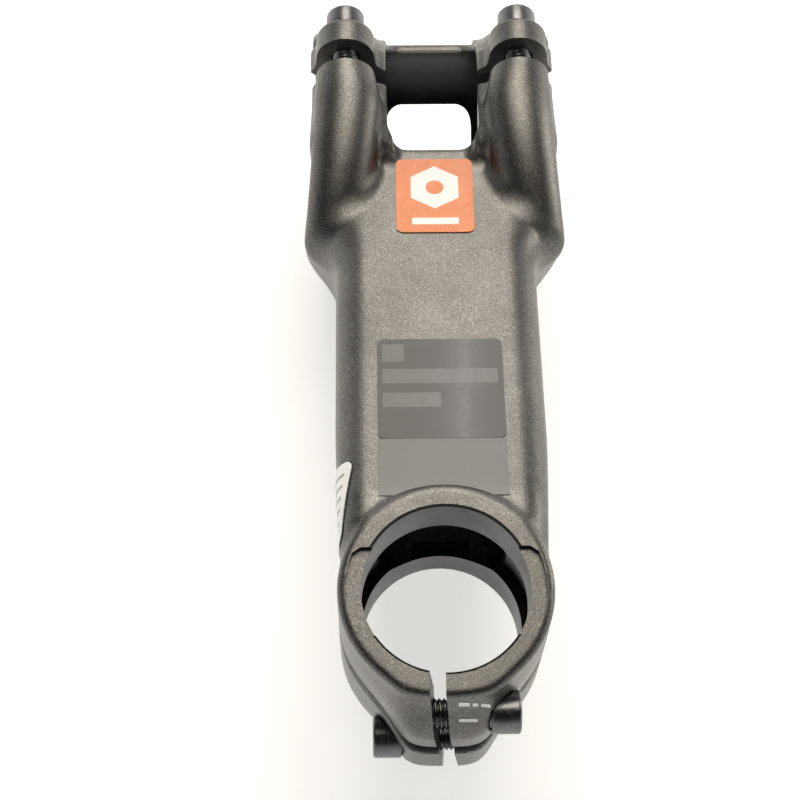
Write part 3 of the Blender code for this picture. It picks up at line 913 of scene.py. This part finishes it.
ANODISED = anodised("bead_blasted_black", (0.075, 0.073, 0.070), (0.185, 0.180, 0.170))
PLATE_PAINT = anodised("bead_blasted_plate", (0.085, 0.083, 0.079), (0.190, 0.184, 0.174))
MACHINED = machined_metal()
STEEL = bolt_steel()
GLOSS_BLACK = gloss("gloss_black_print", (0.004, 0.004, 0.005), (0.007, 0.007, 0.008), 0.10, shine=0.38)
PALE_INK = gloss("pale_grey_print", (0.30, 0.30, 0.30), (0.36, 0.36, 0.36), 0.3)
GREY_INK = gloss("grey_print", (0.030, 0.030, 0.033), (0.042, 0.042, 0.045), 0.14)
ORANGE = gloss("orange_print", (0.76, 0.18, 0.02), (0.84, 0.21, 0.03), 0.28)
SATIN = gloss("satin_black_print", (0.012, 0.012, 0.012), (0.018, 0.018, 0.017), 0.34, 0.0, 0.03, 1.0)
WHITE = gloss("white_print", (0.88, 0.88, 0.87), (0.94, 0.94, 0.93), 0.25)
DARK_INK = gloss("dark_print", (0.02, 0.02, 0.022), (0.03, 0.03, 0.032), 0.3)


# ---------------------------------------------------------------- the object
def add_main_pieces():
    body = make_body()
    body.data.materials.clear()
    body.data.materials.append(ANODISED)
    body.data.materials.append(MACHINED)
    paint_machined(body)
    shade(body.data)
    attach(body, "stem")
    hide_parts("stem_body")
    plate = make_faceplate()
    plate.data.materials.clear()
    plate.data.materials.append(PLATE_PAINT)
    plate.data.materials.append(MACHINED)
    paint_machined(plate)
    shade(plate.data)
    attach(plate, "faceplate")
    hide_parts("faceplate")
    return body


def add_bolts():
    for name in CORNERS:
        node = "faceplate_bolt_" + name
        place_bolt(node, node + "_turn", PLATE_BOLT_LENGTH, STEEL)
    for name in ("upper", "lower"):
        node = "steerer_bolt_" + name
        place_bolt(node, node + "_turn", STEERER_BOLT_LENGTH, STEEL)


def hexagon_rows(radius, middle, steps=6):
    """Rows of a hexagon with a corner at its front and rear."""
    rows = []
    for step in range(-2 * steps, 2 * steps + 1):
        e = radius * step / (2 * steps)
        half = min(radius * math.cos(math.pi / 6), (radius - abs(e)) * math.tan(math.pi / 3))
        rows.append((middle + e, -max(half, 0.05), max(half, 0.05)))
    return rows


def disc_rows(radius, middle, steps=12):
    rows = []
    for step in range(steps + 1):
        angle = math.pi * (step / steps - 0.5)
        half = max(radius * math.cos(angle), 0.05)
        rows.append((middle + radius * math.sin(angle), -half, half))
    return rows


def add_labels():
    sheet("deck_gloss_panel", round_rows(*GLOSS_BOX, 1.2), on_deck, SHEET_LIFT, 0.16,
          GLOSS_BLACK, "gloss_panel")
    sheet("deck_satin_band", round_rows(*SATIN_BOX, 0.2), on_deck, SHEET_LIFT, 0.12,
          SATIN, None)
    for name, left, right, rear, front in PANEL_MARKS:
        sheet(name, round_rows(left, right, rear, front, 0.2, 3, 4), on_deck, 0.222, 0.01,
              GREY_INK, None)
    sheet("deck_sticker", round_rows(*STICKER_BOX, 1.3), on_deck, SHEET_LIFT, 0.2,
          ORANGE, "orange_sticker")
    sheet("sticker_emblem", hexagon_rows(EMBLEM_R, EMBLEM_E), on_deck, STICKER_PRINT_LIFT,
          PRINT_THICK, WHITE, None)
    sheet("sticker_dot", disc_rows(DOT_R, EMBLEM_E), on_deck, 0.284, PRINT_THICK,
          ORANGE, None)
    sheet("sticker_bar", round_rows(*BAR_BOX, 0.3, 4, 2), on_deck, STICKER_PRINT_LIFT,
          PRINT_THICK, WHITE, None)
    sheet("flank_label_edge", slanted(round_rows(*FLANK_EDGE_BOX, 1.9)), on_left_flank,
          0.05, 0.08, DARK_INK, None)
    sheet("flank_label", slanted(round_rows(*FLANK_BOX, 1.6)), on_left_flank,
          0.1, 0.14, WHITE, "side_label")
    for number, e in enumerate(FLANK_LINES):
        rows = slanted(round_rows(-3.4, 4.8, e, e + 0.5, 0.1, 2, 2))
        sheet(f"flank_line_{number}", rows, on_left_flank, 0.25, PRINT_THICK,
              PALE_INK, None)
    for number, (left, right, rear, front) in enumerate(EAR_MARKS):
        sheet(f"ear_mark_{number}", round_rows(left, right, rear, front, 0.1, 2, 2), on_ear,
              0.03, 0.03, WHITE, None)


# ---------------------------------------------------------------- studio
def add_camera():
    """The camera stands high above the clamp and looks down and a little forward."""
    camera = bpy.data.objects.new("camera", bpy.data.cameras.new("camera"))
    bpy.context.scene.collection.objects.link(camera)
    right = Vector((0.9999, -0.0119, 0.0087))
    down = Vector((-0.0082, -0.9409, -0.3385))
    ahead = Vector((0.0122, 0.3384, -0.9409))
    turn = Matrix((right, -down, -ahead)).transposed().to_4x4()
    camera.matrix_world = Matrix.Translation(Vector((-12.07, -97.55, 384.1)) * MM) @ turn
    camera.data.sensor_width = 36
    camera.data.lens = 101.25
    camera.data.clip_start = 0.01
    bpy.context.scene.camera = camera


def add_softbox(name, place, target, size, power, color=(1, 1, 1)):
    light = bpy.data.lights.new(name, "AREA")
    light.shape = "RECTANGLE"
    light.size, light.size_y = size
    light.energy = power
    light.color = color
    lamp = bpy.data.objects.new(name, light)
    bpy.context.scene.collection.objects.link(lamp)
    lamp.location = place
    lamp.rotation_euler = (Vector(target) - Vector(place)).to_track_quat("-Z", "Y").to_euler()


def add_floor():
    low = min(cad_box[0][2], cad_box[1][2])
    half = FLOOR_HALF
    outline = [(-half, -half), (half, -half), (half, half), (-half, half)]
    floor = add_object("floor", finished(prism(outline, "z", -4, 0), "floor"))
    floor.location.z = low - FLOOR_DROP * MM
    paint = Paint("floor_paper", Specular_IOR_Level=0.2)
    soft = paint.noise(9, 2.0)
    paint.colors(soft, [(0.2, (0.86, 0.86, 0.86)), (0.8, (0.9, 0.9, 0.9))])
    paint.rough(paint.remap(soft, 0.2, 0.8, 0.5, 0.6))
    paint.shader.inputs["Emission Color"].default_value = (1.0, 0.985, 0.96, 1.0)
    paint.shader.inputs["Emission Strength"].default_value = 0.52
    floor.data.materials.append(paint.material)


def add_studio():
    world = bpy.data.worlds.new("studio")
    world.use_nodes = True
    nodes, links = world.node_tree.nodes, world.node_tree.links
    place = nodes.new("ShaderNodeTexCoord").outputs["Generated"]
    split = nodes.new("ShaderNodeSeparateXYZ")
    ramp = nodes.new("ShaderNodeValToRGB")
    links.new(place, split.inputs["Vector"])
    links.new(split.outputs["Z"], ramp.inputs["Fac"])
    links.new(ramp.outputs["Color"], nodes["Background"].inputs["Color"])
    stops = ramp.color_ramp.elements
    stops[0].position, stops[0].color = 0.05, (0.95, 0.95, 0.95, 1)
    stops[1].position, stops[1].color = 0.62, (0.03, 0.03, 0.03, 1)
    bpy.context.scene.world = world
    bpy.context.scene.view_settings.view_transform = "Standard"
    warm, middle = (1.0, 0.94, 0.84), (0, 0.05, -0.02)
    add_softbox("front", (0.03, 0.52, 0.66), middle, (0.45, 0.9), 6.2, warm)
    add_softbox("strip", (0.031, 0.62, 0.52), middle, (0.006, 0.5), 0.07)
    add_softbox("right", (0.75, 0.30, 0.07), middle, (0.2, 0.6), 2.0, warm)
    add_floor()


BODY = add_main_pieces()
BODY_TREE = BVHTree.FromObject(BODY, bpy.context.evaluated_depsgraph_get())
add_bolts()
add_labels()
add_camera()
add_studio()
